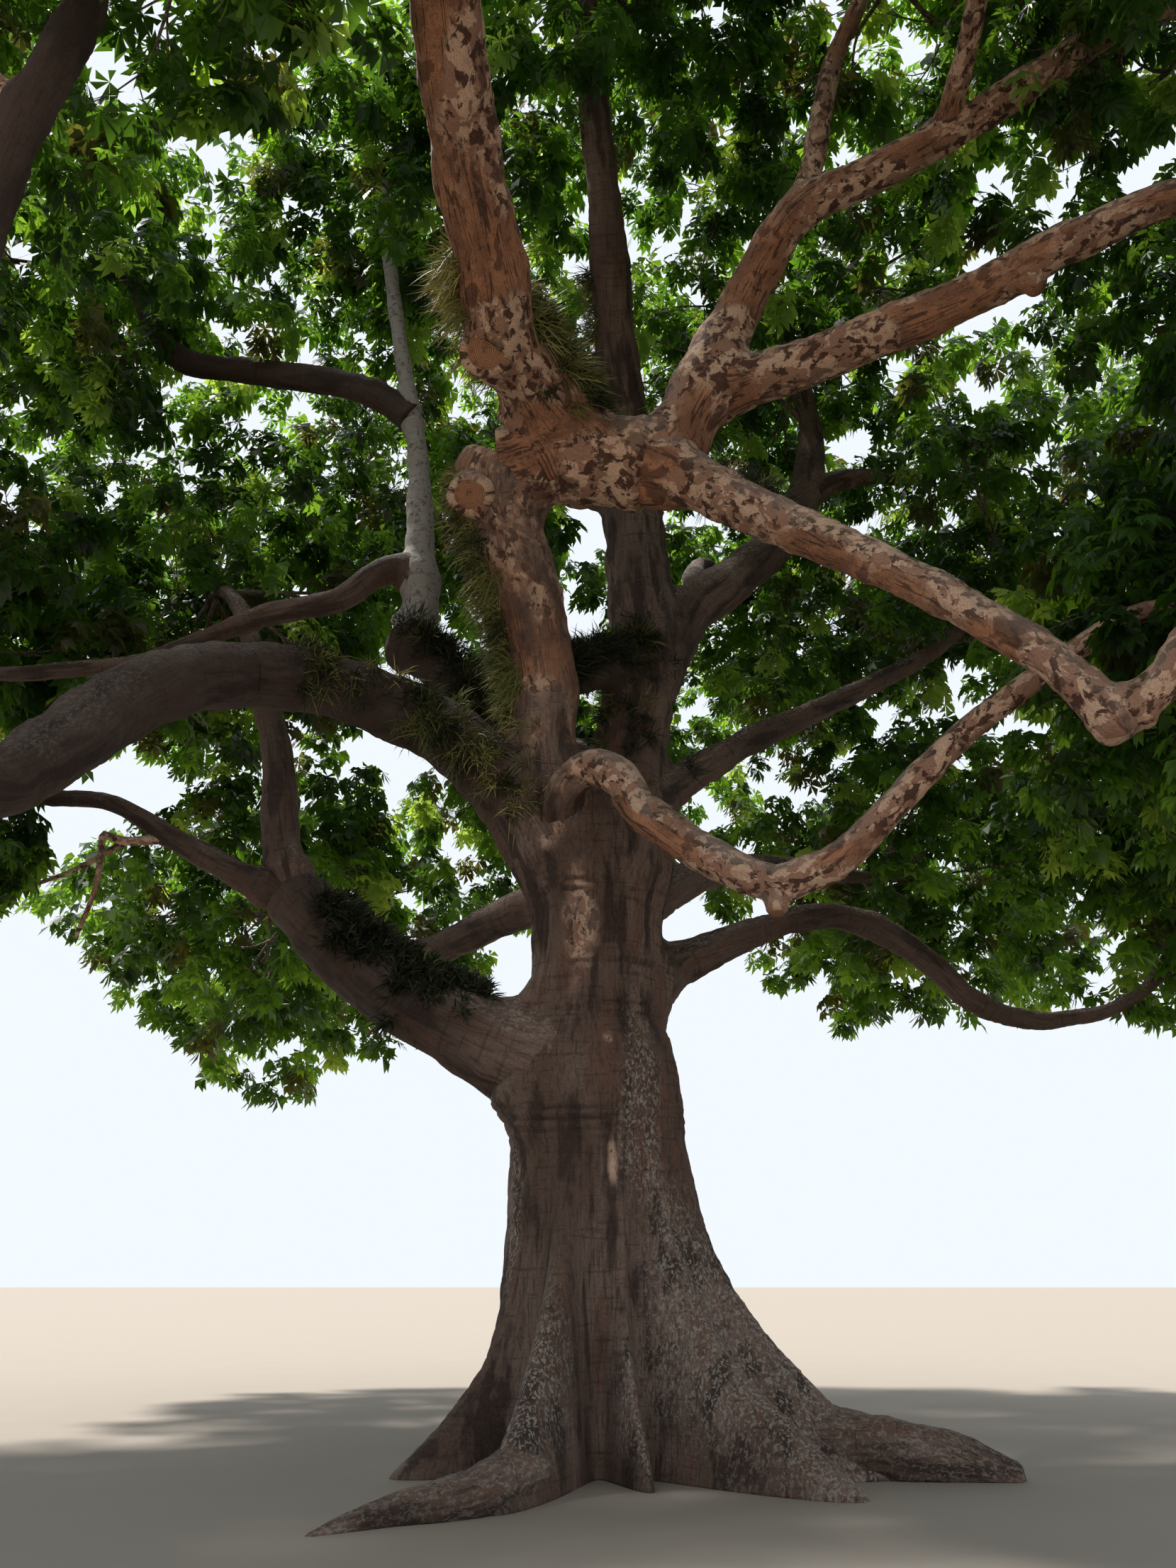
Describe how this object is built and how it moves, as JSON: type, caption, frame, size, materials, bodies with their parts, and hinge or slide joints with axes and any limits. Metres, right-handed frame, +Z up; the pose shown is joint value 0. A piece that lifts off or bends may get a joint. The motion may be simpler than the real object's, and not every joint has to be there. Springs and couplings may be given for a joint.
{
  "type": "kapok tree",
  "caption": "Very large kapok tree in full leaf: buttressed trunk flaring at the foot, heavy twisting boughs that part low down and a broad, low crown.",
  "frame": {"origin": "on level ground under the middle of the trunk", "axes": "+Z up; +X to the right and +Y away from someone who stands in front of the tree"},
  "size_m": [24.6093, 24.3017, 19.8827],
  "materials": {
    "trunk_bark": "rough bark",
    "bough_bark": "rough flaking bark",
    "pale_bark": "smoother pale bark",
    "leaves": "satin"
  },
  "bodies": {
    "root": {"back_right_bough": "bough_bark", "back_stem": "bough_bark", "cross_limb": "bough_bark", "elbow_bough": "bough_bark", "far_left_bough": "bough_bark", "front_crossing": "bough_bark", "front_stem": "bough_bark", "leaves_back_right_bough": "leaves", "leaves_far_left_bough": "leaves", "leaves_left_arch_riser": "leaves", "leaves_left_arch_side": "leaves", "leaves_left_low_reach": "leaves", "leaves_left_low_riser": "leaves", "leaves_left_mid_bough": "leaves", "leaves_overhead_bough": "leaves", "leaves_pale_stem": "leaves", "leaves_rear_bough": "leaves", "leaves_rear_high_left_bough": "leaves", "leaves_rear_high_right_bough": "leaves", "leaves_rear_left_bough": "leaves", "leaves_rear_right_bough": "leaves", "leaves_right_back_bough": "leaves", "leaves_right_high_bough": "leaves", "leaves_right_high_side": "leaves", "leaves_right_hook_rise": "leaves", "leaves_right_low_drop": "leaves", "leaves_right_mid_bough": "leaves", "leaves_right_sweep_riser": "leaves", "leaves_right_upright": "leaves", "leaves_top_leader": "leaves", "left_arch_bough": "bough_bark", "left_arch_fall": "bough_bark", "left_arch_riser": "bough_bark", "left_arch_side": "bough_bark", "left_low_bough": "bough_bark", "left_low_reach": "bough_bark", "left_low_riser": "bough_bark", "left_mid_bough": "bough_bark", "overhead_bough": "bough_bark", "pale_stem": "pale_bark", "rear_bough": "bough_bark", "rear_high_left_bough": "bough_bark", "rear_high_right_bough": "bough_bark", "rear_left_bough": "bough_bark", "rear_right_bough": "bough_bark", "right_back_bough": "bough_bark", "right_fork_stem": "bough_bark", "right_high_bough": "bough_bark", "right_high_side": "bough_bark", "right_hook_dip": "bough_bark", "right_hook_rise": "bough_bark", "right_low_bough": "bough_bark", "right_low_drop": "bough_bark", "right_mid_bough": "bough_bark", "right_sweep_bough": "bough_bark", "right_sweep_riser": "bough_bark", "right_upright": "bough_bark", "top_leader": "bough_bark", "trunk": "trunk_bark"}
  },
  "joints": []
}
